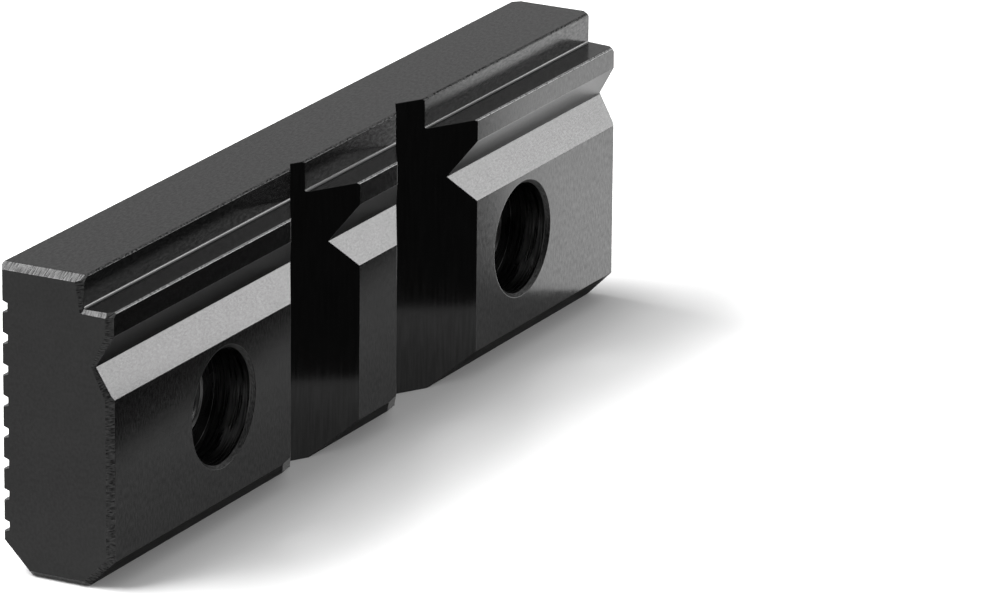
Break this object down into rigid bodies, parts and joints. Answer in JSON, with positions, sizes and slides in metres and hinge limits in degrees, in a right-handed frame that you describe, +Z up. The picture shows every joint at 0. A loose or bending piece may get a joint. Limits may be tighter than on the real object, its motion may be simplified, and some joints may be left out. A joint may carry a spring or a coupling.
{
  "type": "prismatic vise jaw",
  "caption": "Hard vise jaw plate with V grooves and a ledge on one face, serrations on the other, and counterbored screw holes.",
  "frame": {"origin": "middle of the bottom face", "axes": "+X along the jaw, +Y from the prismatic face to the serrated face, +Z up to the ledge and the top"},
  "size_m": [0.135, 0.016, 0.04],
  "materials": {
    "blackened_steel": "ground tool steel, black oxide, satin"
  },
  "bodies": {
    "root": {"prismatic_jaw": "blackened_steel"}
  },
  "joints": []
}
